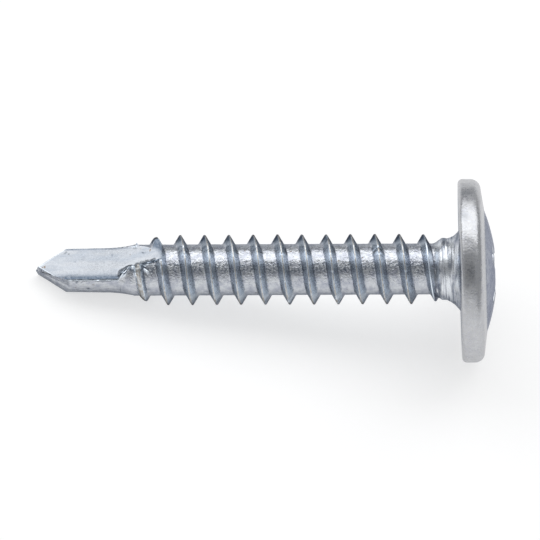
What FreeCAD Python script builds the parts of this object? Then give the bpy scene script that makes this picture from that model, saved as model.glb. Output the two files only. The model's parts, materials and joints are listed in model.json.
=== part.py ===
"""A self-drilling wafer-head screw, cold formed from one piece of wire.

The screw is drawn along its own X axis, in millimetres: the bearing face of the head is at X = 0,
the drill point is on the -X side and the cross recess opens towards +X. One flute of the drill
point faces +Z and the other -Z. The finished screw is then laid down as it comes to rest.
"""
import FreeCAD
import Part
import Sketcher
import math
import os

doc = FreeCAD.newDocument("DrillScrew")

# Driving dimensions, in millimetres and degrees. Places along the screw are measured from the
# bearing face, and places on the drill point from its tip.
SIZES = {
    "screw_length": 24.6,

    "thread_diameter": 4.07,
    "root_diameter": 2.96,
    "thread_pitch": 1.41,
    "thread_angle": 60.0,
    "thread_crest": 0.06,
    "ridge_sink": 0.09,
    "thread_last_crest": 2.26,
    "thread_full_from": 17.4,
    "thread_lead_length": 1.4,
    "thread_full_to": 2.6,
    "thread_fade_length": 1.7,

    "neck_length": 1.5,
    "neck_step": 0.45,
    "neck_diameter": 3.6,
    "neck_fillet_radius": 1.35,
    "neck_fillet_length": 0.75,
    "neck_foot_diameter": 4.76,

    "drill_diameter": 3.2,
    "drill_length": 4.9,
    "drill_shoulder": 0.9,
    "point_angle": 68.0,
    "point_turn": 9.3,

    "relief_offset": 0.683,
    "relief_turn": 35.3,
    "land_relief": 0.315,
    "land_back_taper": 0.075,
    "relief_straight": 4.0,
    "relief_run_out": 1.8,
    "relief_rise": 0.215,

    "flute_fillet": 0.3,
    "flute_tip_side": 1.05,
    "flute_tip_depth": 0.34,
    "flute_tip_rake": 22.6,
    "flute_tip_floor": 7.0,
    "flute_straight": 4.76,
    "flute_side": 1.09,
    "flute_depth": 0.5,
    "flute_rake": 27.0,
    "flute_floor": 12.2,
    "flute_shoulder": 0.65,
    "shoulder_side": 0.58,
    "shoulder_depth": 0.7,
    "shoulder_rake": 12.5,
    "shoulder_floor": 12.0,
    "flute_length": 7.3,
    "run_out_side": 0.45,
    "run_out_floor": 2.4,

    "head_diameter": 10.66,
    "rim_under_radius": 0.26,
    "rim_top_radius": 0.6,
    "flange_height": 1.3,
    "flange_edge_slope": 16.8,
    "dome_diameter": 7.0,
    "dome_foot_height": 1.5,
    "dome_height": 2.12,

    "recess_span": 4.4,
    "recess_floor_span": 2.29,
    "recess_wing": 0.95,
    "recess_floor_wing": 0.7,
    "recess_depth": 2.1,
    "recess_core": 2.5,
    "recess_floor_core": 1.47,
    "recess_floor_cone": 0.27,
    "recess_turn": 6.3,

    "rest_roll": 4.3,
}

sheet = doc.addObject("Spreadsheet::Sheet", "Sizes")
for row, (alias, size) in enumerate(SIZES.items(), start=1):
    sheet.set(f"A{row}", alias)
    sheet.set(f"B{row}", str(size))
    sheet.setAlias(f"B{row}", alias)
doc.recompute()

body = doc.addObject("PartDesign::Body", "Screw")
body.Label = "screw"

AROUND_X = FreeCAD.Vector(1, 0, 0)
AROUND_Y = FreeCAD.Vector(0, 1, 0)
AROUND_Z = FreeCAD.Vector(0, 0, 1)


def value(expression):
    """Work out an expression in the sheet's sizes."""
    result = sheet.evalExpression(expression)
    return float(getattr(result, "Value", result))


def add_sketch(name, plane_role, turn_axis=None, turn=None, shift=None):
    """Start a sketch on an origin plane, turned or shifted where the form asks for it."""
    sketch = body.newObject("Sketcher::SketchObject", name)
    plane = next(item for item in body.Origin.OriginFeatures if item.Role == plane_role)
    sketch.AttachmentSupport = [(plane, "")]
    sketch.MapMode = "FlatFace"
    offset = FreeCAD.Placement()
    if turn is not None:
        offset.Rotation = FreeCAD.Rotation(turn_axis, value(turn))
    if shift is not None:
        offset.Base = FreeCAD.Vector(0, 0, value(shift))
    sketch.AttachmentOffset = offset
    if turn is not None:
        sketch.setExpression(".AttachmentOffset.Rotation.Angle", turn)
    if shift is not None:
        sketch.setExpression(".AttachmentOffset.Base.z", shift)
    return sketch


def arc_middle(start, end, radius):
    """Middle of the arc from start to end. A positive radius has its centre on the left."""
    chord = end.sub(start)
    half = chord.Length / 2
    left = FreeCAD.Vector(-chord.y, chord.x, 0).normalize()
    sagitta = abs(radius) - math.sqrt(radius * radius - half * half)
    middle = start.add(end).multiply(0.5)
    return middle.sub(left.multiply(math.copysign(sagitta, radius)))


def bind_coordinate(sketch, kind, axis, vertex, position, expression):
    """Hold one coordinate of a vertex at an expression, or on the sketch axis where it is zero."""
    if expression == "0":
        sketch.addConstraint(Sketcher.Constraint("PointOnObject", *vertex, axis))
        return
    index = sketch.addConstraint(Sketcher.Constraint(kind, -1, 1, *vertex, position))
    sketch.setExpression(f"Constraints[{index}]", expression)


def draw_outline(sketch, corners):
    """Draw a closed outline and bind it to the sheet.

    Each corner is (x, y), or (x, y, radius) where the side that leaves it is an arc.
    """
    points = [FreeCAD.Vector(value(corner[0]), value(corner[1]), 0) for corner in corners]
    starts = []
    ends = []
    for number, corner in enumerate(corners):
        start = points[number]
        end = points[(number + 1) % len(points)]
        if len(corner) == 2:
            side = sketch.addGeometry(Part.LineSegment(start, end), False)
            starts.append((side, 1))
            ends.append((side, 2))
            continue
        radius = value(corner[2])
        middle = arc_middle(start, end, radius)
        if radius > 0:
            side = sketch.addGeometry(Part.Arc(start, middle, end), False)
            starts.append((side, 1))
            ends.append((side, 2))
        else:
            side = sketch.addGeometry(Part.Arc(end, middle, start), False)
            starts.append((side, 2))
            ends.append((side, 1))
    for number in range(len(corners)):
        sketch.addConstraint(Sketcher.Constraint("Coincident", *ends[number - 1], *starts[number]))
    for number, corner in enumerate(corners):
        bind_coordinate(sketch, "DistanceX", -2, starts[number], points[number].x, corner[0])
        bind_coordinate(sketch, "DistanceY", -1, starts[number], points[number].y, corner[1])
        if len(corner) == 3:
            sign = "" if value(corner[2]) > 0 else "-"
            radius = abs(value(corner[2]))
            index = sketch.addConstraint(Sketcher.Constraint("Radius", starts[number][0], radius))
            sketch.setExpression(f"Constraints[{index}]", f"{sign}({corner[2]})")


def turn_profile(kind, name, sketch, axis="H_Axis"):
    """Turn a profile about an axis of its sketch: a Revolution adds, a Groove cuts."""
    feature = body.newObject(f"PartDesign::{kind}", name)
    feature.Profile = sketch
    feature.ReferenceAxis = (sketch, [axis])
    feature.Angle = 360
    return feature


def repeat_around(name, original, copies, angle=360):
    """Repeat a feature around the screw's axis, over a full turn or from one angle to another."""
    axis = next(item for item in body.Origin.OriginFeatures if item.Role == "X_Axis")
    pattern = body.newObject("PartDesign::PolarPattern", name)
    pattern.Originals = [original]
    pattern.Axis = (axis, [""])
    pattern.Angle = angle
    pattern.Occurrences = copies
    body.Tip = pattern
    return pattern


TIP = "-Sizes.screw_length"
ROOT = "Sizes.root_diameter / 2"
THREAD = "Sizes.thread_diameter / 2"
DRILL = "Sizes.drill_diameter / 2"
# A cut reaches this far past the widest thread, and this far past the ends of the screw
WIDE = f"({THREAD} + Sizes.thread_pitch)"
PAST = "Sizes.thread_pitch / 2"

# Shank, at the root of the thread
shank_sketch = add_sketch("ShankSketch", "XY_Plane")
draw_outline(shank_sketch, [
    (TIP, "0"),
    ("0", "0"),
    ("0", ROOT),
    (TIP, ROOT),
])
turn_profile("Revolution", "Shank", shank_sketch)

# Thread: one V ridge, sunk a little into the shank, whose ends are buried in the drill point
# and in the neck
RIDGE_HEIGHT = f"({THREAD} - {ROOT})"
HALF_CREST = "Sizes.thread_crest / 2"
HALF_RIDGE = f"({HALF_CREST} + ({RIDGE_HEIGHT} + Sizes.ridge_sink) * tan(Sizes.thread_angle / 2))"
THREAD_REACH = "(Sizes.thread_full_from + Sizes.thread_lead_length + Sizes.thread_pitch / 2)"
THREAD_TURNS = f"ceil(({THREAD_REACH} - Sizes.thread_last_crest) / Sizes.thread_pitch)"
THREAD_START = f"(Sizes.thread_last_crest + {THREAD_TURNS} * Sizes.thread_pitch)"
ridge_sketch = add_sketch("RidgeSketch", "XY_Plane")
draw_outline(ridge_sketch, [
    (f"-{THREAD_START} - {HALF_RIDGE}", f"{ROOT} - Sizes.ridge_sink"),
    (f"-{THREAD_START} + {HALF_RIDGE}", f"{ROOT} - Sizes.ridge_sink"),
    (f"-{THREAD_START} + {HALF_CREST}", THREAD),
    (f"-{THREAD_START} - {HALF_CREST}", THREAD),
])
ridge = body.newObject("PartDesign::AdditiveHelix", "Thread")
ridge.Profile = ridge_sketch
ridge.ReferenceAxis = (ridge_sketch, ["H_Axis"])
ridge.Mode = "pitch-height-angle"
ridge.Pitch = value("Sizes.thread_pitch")
ridge.Height = value(f"{THREAD_START} - Sizes.neck_fillet_length / 2")
ridge.setExpression("Pitch", "Sizes.thread_pitch")
ridge.setExpression("Height", f"{THREAD_START} - Sizes.neck_fillet_length / 2")
doc.recompute()

# The ridge is cut down where it starts on the drill side and where it fades out under the head
LEAD_START = "(Sizes.thread_full_from + Sizes.thread_lead_length)"
LEAD_SLOPE = f"({RIDGE_HEIGHT} / Sizes.thread_lead_length)"
OVER_CREST = f"({THREAD} + Sizes.thread_crest)"
OVER_ROOT = f"({ROOT} + Sizes.thread_crest)"
ends_sketch = add_sketch("ThreadEndsSketch", "XY_Plane")
draw_outline(ends_sketch, [
    (f"{TIP} - {PAST}", OVER_ROOT),
    (f"-{LEAD_START} + Sizes.thread_crest / {LEAD_SLOPE}", OVER_ROOT),
    (f"-Sizes.thread_full_from + Sizes.thread_crest / {LEAD_SLOPE}", OVER_CREST),
    (f"-Sizes.thread_full_from + Sizes.thread_crest / {LEAD_SLOPE}", WIDE),
    (f"{TIP} - {PAST}", WIDE),
])
draw_outline(ends_sketch, [
    ("-Sizes.thread_full_to", OVER_CREST),
    ("-Sizes.thread_full_to + Sizes.thread_fade_length", "Sizes.neck_diameter / 2"),
    (PAST, "Sizes.neck_diameter / 2"),
    (PAST, WIDE),
    ("-Sizes.thread_full_to", WIDE),
])
turn_profile("Groove", "ThreadEnds", ends_sketch)

# Blank of the drill point, before its sides are pinched away
blank_sketch = add_sketch("DrillBlankSketch", "XY_Plane")
draw_outline(blank_sketch, [
    (TIP, "0"),
    (f"{TIP} + Sizes.drill_length + Sizes.drill_shoulder", "0"),
    (f"{TIP} + Sizes.drill_length + Sizes.drill_shoulder", f"{ROOT} - Sizes.thread_crest"),
    (f"{TIP} + Sizes.drill_length", DRILL),
    (TIP, DRILL),
])
turn_profile("Revolution", "DrillBlank", blank_sketch)

# Land behind each cutting edge, turned away about a line beside the screw's axis
LAND = f"({DRILL} - Sizes.land_relief)"
RELIEF_ARC = "((Sizes.relief_run_out ^ 2 + Sizes.relief_rise ^ 2) / (2 * Sizes.relief_rise))"
relief_sketch = add_sketch("LandReliefSketch", "XY_Plane", AROUND_X, "Sizes.relief_turn")
draw_outline(relief_sketch, [
    (f"{TIP} - {PAST}", f"-{LAND} + Sizes.land_back_taper"),
    (f"{TIP} + Sizes.relief_straight", f"-{LAND}", f"-{RELIEF_ARC}"),
    (f"{TIP} + Sizes.relief_straight + Sizes.relief_run_out", f"-{LAND} - Sizes.relief_rise"),
    (f"{TIP} + Sizes.relief_straight + Sizes.relief_run_out + {PAST} / 2", f"-{WIDE}"),
    (f"{TIP} - {PAST}", f"-{WIDE}"),
])
relief_axis = relief_sketch.addGeometry(
    Part.LineSegment(
        FreeCAD.Vector(value(TIP), value("Sizes.relief_offset"), 0),
        FreeCAD.Vector(0, value("Sizes.relief_offset"), 0),
    ),
    True,
)
relief_sketch.addConstraint(Sketcher.Constraint("Horizontal", relief_axis))
bind_coordinate(relief_sketch, "DistanceX", -2, (relief_axis, 1), value(TIP), TIP)
bind_coordinate(relief_sketch, "DistanceX", -2, (relief_axis, 2), 0, "0")
bind_coordinate(relief_sketch, "DistanceY", -1, (relief_axis, 1),
                value("Sizes.relief_offset"), "Sizes.relief_offset")
relief = turn_profile("Groove", "LandRelief", relief_sketch, "Axis0")
repeat_around("LandReliefs", relief, 2)


def draw_flute_section(name, place, corner_y, corner_z, rake, floor):
    """Draw one section of a flute: a steep rake face and a flatter floor, open to the outside.

    The two meet in a fillet at the corner. The rake face leans from Z, and the floor from Y.
    """
    sketch = add_sketch(name, "YZ_Plane", shift=place)
    along_rake = f"(Sizes.flute_fillet / tan((90 + {rake} - {floor}) / 2))"
    rake_reach = f"(({WIDE} - {corner_z}) / cos({rake}))"
    floor_reach = f"(({WIDE} + {corner_y}) / cos({floor}))"
    draw_outline(sketch, [
        (f"-{corner_y} - {rake_reach} * sin({rake})", WIDE),
        (f"-{corner_y} - {along_rake} * sin({rake})", f"{corner_z} + {along_rake} * cos({rake})",
         "Sizes.flute_fillet"),
        (f"-{corner_y} + {along_rake} * cos({floor})", f"{corner_z} + {along_rake} * sin({floor})"),
        (WIDE, f"{corner_z} + {floor_reach} * sin({floor})"),
        (WIDE, WIDE),
    ])
    return sketch


# Flutes, lofted from the tip through the end of the straight stretch and up to the shank
RUN_OUT_DEPTH = f"({ROOT} + Sizes.thread_crest / 4)"
flute_sections = [
    draw_flute_section("FluteTipSketch", f"{TIP} - {PAST}", "Sizes.flute_tip_side",
                       "Sizes.flute_tip_depth", "Sizes.flute_tip_rake", "Sizes.flute_tip_floor"),
    draw_flute_section("FluteEndSketch", f"{TIP} + Sizes.flute_straight", "Sizes.flute_side",
                       "Sizes.flute_depth", "Sizes.flute_rake", "Sizes.flute_floor"),
    draw_flute_section("FluteShoulderSketch",
                       f"{TIP} + Sizes.flute_straight + Sizes.flute_shoulder",
                       "Sizes.shoulder_side", "Sizes.shoulder_depth", "Sizes.shoulder_rake",
                       "Sizes.shoulder_floor"),
    draw_flute_section("FluteRunOutSketch", f"{TIP} + Sizes.flute_length", "Sizes.run_out_side",
                       RUN_OUT_DEPTH, "Sizes.shoulder_rake", "Sizes.run_out_floor"),
]
flute = body.newObject("PartDesign::SubtractiveLoft", "Flute")
flute.Profile = flute_sections[0]
flute.Sections = flute_sections[1:]
flute.Ruled = True
repeat_around("Flutes", flute, 2)

# Point: two flanks, one over each land, that meet in the chisel edge
point_sketch = add_sketch("PointSketch", "XY_Plane", AROUND_X, "Sizes.point_turn")
POINT_REACH = f"({WIDE} / tan(Sizes.point_angle / 2))"
draw_outline(point_sketch, [
    (TIP, "0"),
    (f"{TIP} + {POINT_REACH}", WIDE),
    (f"{TIP} - {PAST}", WIDE),
    (f"{TIP} - {PAST}", f"-{WIDE}"),
    (f"{TIP} + {POINT_REACH}", f"-{WIDE}"),
])
point = body.newObject("PartDesign::Pocket", "Point")
point.Profile = point_sketch
point.Type = "ThroughAll"
point.Midplane = True

# Neck and head, turned in one. The rim's upper edge is rounded in three arcs and its lower edge in two.
RIM = "Sizes.head_diameter / 2"
RIM_EDGE = "(Sizes.flange_height - Sizes.rim_top_radius * cos(Sizes.flange_edge_slope))"
FLANGE_EDGE = f"({RIM} - Sizes.rim_top_radius * (1 - sin(Sizes.flange_edge_slope)))"
THIRD_ROUND = "((90 - Sizes.flange_edge_slope) / 3)"
DOME_RISE = "(Sizes.dome_height - Sizes.dome_foot_height)"
DOME_RADIUS = f"(({DOME_RISE} ^ 2 + Sizes.dome_diameter ^ 2 / 4) / (2 * {DOME_RISE}))"
head_sketch = add_sketch("HeadSketch", "XY_Plane")
draw_outline(head_sketch, [
    ("-Sizes.neck_length", "0"),
    ("Sizes.dome_height", "0", DOME_RADIUS),
    ("Sizes.dome_foot_height", "Sizes.dome_diameter / 2"),
    ("Sizes.flange_height", FLANGE_EDGE, "Sizes.rim_top_radius"),
    (f"{RIM_EDGE} + Sizes.rim_top_radius * sin(2 * {THIRD_ROUND})",
     f"{RIM} - Sizes.rim_top_radius * (1 - cos(2 * {THIRD_ROUND}))", "Sizes.rim_top_radius"),
    (f"{RIM_EDGE} + Sizes.rim_top_radius * sin({THIRD_ROUND})",
     f"{RIM} - Sizes.rim_top_radius * (1 - cos({THIRD_ROUND}))", "Sizes.rim_top_radius"),
    (RIM_EDGE, RIM),
    ("Sizes.rim_under_radius", RIM, "Sizes.rim_under_radius"),
    ("Sizes.rim_under_radius * (1 - cos(45))", f"{RIM} - Sizes.rim_under_radius * (1 - sin(45))",
     "Sizes.rim_under_radius"),
    ("0", f"{RIM} - Sizes.rim_under_radius"),
    ("0", "Sizes.neck_foot_diameter / 2", "-Sizes.neck_fillet_radius"),
    ("-Sizes.neck_fillet_length", "Sizes.neck_diameter / 2"),
    ("-Sizes.neck_length + Sizes.neck_step", "Sizes.neck_diameter / 2"),
    ("-Sizes.neck_length", ROOT),
])
turn_profile("Revolution", "Head", head_sketch)

# Cross recess: two crossed tapering slots, and a tapering core with a conical floor
RAISE = f"({PAST} / Sizes.recess_depth)"


def draw_slot_section(name, place, span, width):
    """Draw a rectangle across the recess, centred on the screw's axis."""
    sketch = add_sketch(name, "YZ_Plane", AROUND_Z, "Sizes.recess_turn", place)
    draw_outline(sketch, [
        (f"-{span} / 2", f"-{width} / 2"),
        (f"{span} / 2", f"-{width} / 2"),
        (f"{span} / 2", f"{width} / 2"),
        (f"-{span} / 2", f"{width} / 2"),
    ])
    return sketch


RAISED_SPAN = f"(Sizes.recess_span + (Sizes.recess_span - Sizes.recess_floor_span) * {RAISE})"
RAISED_WING = f"(Sizes.recess_wing + (Sizes.recess_wing - Sizes.recess_floor_wing) * {RAISE})"
slot = body.newObject("PartDesign::SubtractiveLoft", "RecessSlot")
slot.Profile = draw_slot_section("SlotMouthSketch", f"Sizes.dome_height + {PAST}",
                                 RAISED_SPAN, RAISED_WING)
slot.Sections = [draw_slot_section("SlotFloorSketch", "Sizes.dome_height - Sizes.recess_depth",
                                   "Sizes.recess_floor_span", "Sizes.recess_floor_wing")]
slot.Ruled = True
repeat_around("RecessSlots", slot, 2, 90)

core_sketch = add_sketch("RecessCoreSketch", "XY_Plane")
draw_outline(core_sketch, [
    ("Sizes.dome_height - Sizes.recess_depth - Sizes.recess_floor_cone", "0"),
    (f"Sizes.dome_height + {PAST}", "0"),
    (f"Sizes.dome_height + {PAST}",
     f"(Sizes.recess_core + (Sizes.recess_core - Sizes.recess_floor_core) * {RAISE}) / 2"),
    ("Sizes.dome_height - Sizes.recess_depth", "Sizes.recess_floor_core / 2"),
])
turn_profile("Groove", "RecessCore", core_sketch)

# The screw lies on the lip of its head and its first full turn of thread, rolled a little onto
# the land beside the lower flute
rest_pitch = math.atan2(
    value(f"{RIM} - {THREAD}"),
    value("Sizes.thread_full_from - Sizes.thread_pitch / 2 + Sizes.rim_under_radius"),
)
rest = FreeCAD.Rotation(AROUND_Y, -math.degrees(rest_pitch))
rest = rest.multiply(FreeCAD.Rotation(AROUND_X, value("Sizes.rest_roll")))
body.Placement = FreeCAD.Placement(FreeCAD.Vector(0, 0, 0), rest)
doc.recompute()
box = body.Shape.optimalBoundingBox(True, False)
body.Placement.Base = FreeCAD.Vector(-box.Center.x, -box.Center.y, -box.ZMin)
doc.recompute()

for item in doc.Objects:
    faults = {"Invalid", "Error"}.intersection(item.State)
    if faults:
        raise RuntimeError(f"{item.Label} failed: {sorted(faults)}")
if body.Shape.isNull() or not body.Shape.isValid() or len(body.Shape.Solids) != 1:
    raise RuntimeError("the screw is not one valid solid")

bearing_centre = body.Placement.multVec(FreeCAD.Vector(0, 0, 0))
along_screw = body.Placement.Rotation.multVec(AROUND_X)
print("bearing face centre", bearing_centre, "screw axis", along_screw)
print("volume", round(body.Shape.Volume, 3), "mm3")

os.makedirs("parts", exist_ok=True)
body.Shape.exportStep(f"parts/{body.Label}.step")
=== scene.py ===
import json
import math

import bmesh
import bpy
import numpy as np
from mathutils import Matrix, Vector


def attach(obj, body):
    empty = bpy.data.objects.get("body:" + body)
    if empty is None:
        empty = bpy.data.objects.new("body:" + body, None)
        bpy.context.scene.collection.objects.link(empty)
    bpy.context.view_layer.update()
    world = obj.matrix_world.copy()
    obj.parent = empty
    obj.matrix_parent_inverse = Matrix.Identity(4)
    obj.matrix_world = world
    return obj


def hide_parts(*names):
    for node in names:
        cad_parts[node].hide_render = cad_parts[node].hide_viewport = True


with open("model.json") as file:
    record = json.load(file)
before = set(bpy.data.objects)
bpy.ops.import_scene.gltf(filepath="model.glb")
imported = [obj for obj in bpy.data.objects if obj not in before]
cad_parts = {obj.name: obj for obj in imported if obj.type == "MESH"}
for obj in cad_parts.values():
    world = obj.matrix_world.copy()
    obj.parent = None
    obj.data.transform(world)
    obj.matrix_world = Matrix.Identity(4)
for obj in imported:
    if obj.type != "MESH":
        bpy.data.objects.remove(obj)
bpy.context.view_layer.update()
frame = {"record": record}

bl_info = {
    "name": "Drill screw",
    "version": (1, 0, 0),
    "blender": (4, 5, 0),
    "location": "View3D > Sidebar > Screw",
    "description": "A zinc-plated self-drilling screw with its thread, drill point, finish and studio",
    "category": "Add Mesh",
}

# The mount that gives the line of the screw
RECESS_MOUNT = next(m for m in frame["record"]["mounts"] if m["name"] == "drive_recess")
MM = 0.001

# The mesh is laid out in columns around the screw and rows along it, in millimetres. Each half of
# the drill point has its columns shared out between the flute's floor, corner and rake face, and
# the land behind it.
FLOOR_TO_CHISEL = 17
CHISEL_TO_CORNER = 13
CORNER = 8
RAKE = 12
LAND = 50
HALF = FLOOR_TO_CHISEL + CHISEL_TO_CORNER + CORNER + RAKE + LAND
COLUMNS = 2 * HALF

# Half a wing of the recess takes an eighth of the columns: core, side and tip
RECESS_CORE = 12
RECESS_SIDE = 8
RECESS_TIP = COLUMNS // 8 - RECESS_CORE - RECESS_SIDE

# Points of neighbouring grids that are nearer than this are one
WELD = 0.0004


def length_setting(name, millimetres, description):
    """A length that a user may change, given in millimetres."""
    return bpy.props.FloatProperty(
        name=name, description=description, default=millimetres * MM, unit="LENGTH", precision=6)


def angle_setting(name, degrees, description):
    """An angle that a user may change, given in degrees."""
    return bpy.props.FloatProperty(
        name=name, description=description, default=math.radians(degrees), unit="ROTATION")


def colour_setting(name, colour, description):
    """A colour that a user may change."""
    return bpy.props.FloatVectorProperty(
        name=name, description=description, default=colour, size=3, min=0.0, max=1.0, subtype="COLOR")


class ScrewSizes(bpy.types.PropertyGroup):
    """Sizes of the turned and rolled forms."""
    length: length_setting("Length", 24.6, "From the bearing face to the drill point's tip")
    thread_diameter: length_setting("Thread diameter", 4.07, "Outside diameter of the thread")
    root_diameter: length_setting("Root diameter", 2.96, "Diameter of the shank between the threads")
    pitch: length_setting("Pitch", 1.41, "Distance between two turns of the thread")
    thread_angle: angle_setting("Thread angle", 60.0, "Angle between the two flanks of the thread")
    crest_width: length_setting("Crest width", 0.06, "Width of the thread's crest")
    neck_diameter: length_setting("Neck diameter", 3.6, "Plain neck under the head")
    drill_diameter: length_setting("Drill diameter", 3.2, "Across the margins of the drill point")
    point_angle: angle_setting("Point angle", 68.0, "Angle between the two flanks of the drill point")
    head_diameter: length_setting("Head diameter", 10.66, "Across the wafer head")
    dome_diameter: length_setting("Dome diameter", 7.0, "Across the raised middle of the head")
    head_lean: angle_setting("Head lean", 1.3, "How far the head was struck out of square")
    head_offset: length_setting("Head offset", 0.15, "How far the head was struck off the shank's centre")


class FinishSettings(bpy.types.PropertyGroup):
    """Colours and depths of the zinc finish."""
    zinc: colour_setting("Zinc", (0.58, 0.60, 0.63), "Colour of the plating where it is bright")
    polished: colour_setting(
        "Polished rings", (0.74, 0.77, 0.81), "Colour of the rings that the heading die polished on the neck")
    shade: colour_setting("Dull zinc", (0.40, 0.42, 0.48), "Colour of the plating in its dull patches")
    # Painted reflection: the flanks' bluer, brighter colour stands in for the bluish room they mirror.
    flank: colour_setting(
        "Flanks", (0.80, 0.87, 0.95), "Bluer colour of the plating on the thread's flanks")
    crest: colour_setting("Crest", (0.42, 0.40, 0.37), "Bare, rubbed colour of the thread's crest")
    flute: colour_setting(
        "Flute", (0.41, 0.43, 0.46), "Colour of the plating on the pinched faces of the drill point")
    flute_shade: colour_setting(
        "Flute streaks", (0.25, 0.29, 0.35), "Darker colour of the streaks along the flutes")
    rim: colour_setting("Rim", (0.52, 0.52, 0.53), "Colour of the plating on the head's rim")
    # The film colour also serves as painted shade in the flute corners, along the heels, in dents and on the
    # upper flanks, and as a painted reflection on the rim.
    film: colour_setting("Film", (0.09, 0.12, 0.165), "Dark film in the corners and dents")
    # Painted reflection: the low edge tints, nearly black on the flanks, paint shade into what the shank,
    # head and flanks mirror edge on.
    edge_tint: colour_setting(
        "Edge tint", (0.38, 0.40, 0.44), "How much the shank reflects where it is seen edge on")
    flank_edge_tint: colour_setting(
        "Flank edge tint", (0.02, 0.02, 0.03), "How much the flanks reflect where they are seen edge on")
    head_edge_tint: colour_setting(
        "Head edge tint", (0.38, 0.40, 0.47), "How much the head's top reflects where it is seen edge on")
    rim_edge_tint: colour_setting(
        "Rim edge tint", (0.90, 0.90, 0.90), "How much the rim reflects where it is seen edge on")
    stain: colour_setting("Stain", (0.20, 0.15, 0.11), "Colour of the specks left by the plating bath")
    roughness: bpy.props.FloatProperty(
        name="Roughness", description="How dull the plating is",
        default=0.16, min=0.0, max=1.0, subtype="FACTOR")
    pit_depth: length_setting("Pit depth", 0.044, "Depth of the grain in the plating")
    crease_depth: length_setting("Crease depth", 0.007, "Depth of the creases that cold forming left")


class StageSettings(bpy.types.PropertyGroup):
    """Floor, lights and camera."""
    floor_colour: colour_setting("Floor", (0.47, 0.47, 0.47), "Colour of the floor")
    floor_lift: bpy.props.FloatProperty(
        name="Floor lift", description="How far the floor is lifted to white where it is seen",
        default=0.60, min=0.0, max=1.0, subtype="FACTOR")
    surround: bpy.props.FloatProperty(
        name="Surround", description="Brightness of the room around the table",
        default=0.42, min=0.0, max=2.0)
    camera_side: bpy.props.FloatProperty(
        name="Camera side", description="Brightness of the room behind the camera",
        default=0.11, min=0.0, max=2.0)
    overhead_watts: bpy.props.FloatProperty(
        name="Overhead light", description="Power of the softbox over the screw",
        default=0.74, min=0.0, unit="POWER")
    front_watts: bpy.props.FloatProperty(
        name="Front light", description="Power of the low light in front of the screw",
        default=0.08, min=0.0, unit="POWER")
    camera_distance: bpy.props.FloatProperty(
        name="Camera distance", description="From the camera to the screw",
        default=1.2, unit="LENGTH", subtype="DISTANCE")
    view_width: length_setting("View width", 31.33, "Width that the picture takes in at the screw")


# Geometry helpers

def soft_max(first, second, blend):
    """The larger of two heights, with a rounded corner between them."""
    share = np.clip(0.5 + 0.5 * (first - second) / blend, 0.0, 1.0)
    return second + (first - second) * share + blend * share * (1.0 - share)


def mix(first, second, share):
    """A value between two others."""
    return first + (second - first) * share


def wander(place, seed):
    """Smooth noise from -1 to 1 along a line, with one free value a unit."""
    table = np.random.default_rng(seed).uniform(-1.0, 1.0, 256)
    cell = np.floor(place).astype(int)
    share = place - cell
    share = share * share * (3.0 - 2.0 * share)
    return mix(table[cell % 256], table[(cell + 1) % 256], share)


def rumple(points, size, seed):
    """Smooth noise from -1 to 1 through space, for points in rows of three, with bumps of one size."""
    table = np.random.default_rng(seed).uniform(-1.0, 1.0, 4096)
    place = points / size
    cell = np.floor(place).astype(int)
    share = place - cell
    share = share * share * (3.0 - 2.0 * share)
    total = np.zeros(points.shape[:-1])
    for corner in np.ndindex(2, 2, 2):
        step = np.array(corner)
        weight = np.prod(np.where(step == 1, share, 1.0 - share), axis=-1)
        spot = cell + step
        total += weight * table[(spot[..., 0] * 73 + spot[..., 1] * 179 + spot[..., 2] * 283) % 4096]
    return total


def arc_points(start, end, radius, steps):
    """Points along an arc from start to end, its centre on the left for a positive radius."""
    start = np.array(start)
    end = np.array(end)
    chord = end - start
    half = np.hypot(*chord) / 2.0
    left = np.array((-chord[1], chord[0])) / (2.0 * half)
    centre = (start + end) / 2.0 + left * math.copysign(math.sqrt(radius ** 2 - half ** 2), radius)
    first = math.atan2(*(start - centre)[::-1])
    turn = 2.0 * math.asin(half / abs(radius)) * math.copysign(1.0, radius)
    angles = first + turn * np.linspace(0.0, 1.0, steps + 1)
    return centre + abs(radius) * np.stack((np.cos(angles), np.sin(angles)), axis=1)


def grid_faces(first_vertex, rows, columns):
    """Quads of a grid whose vertices are numbered row by row."""
    row = np.arange(rows - 1)[:, None]
    column = np.arange(columns - 1)[None, :]
    corner = first_vertex + row * columns + column
    return np.stack((corner, corner + 1, corner + columns + 1, corner + columns), axis=-1).reshape(-1, 4)


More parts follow.
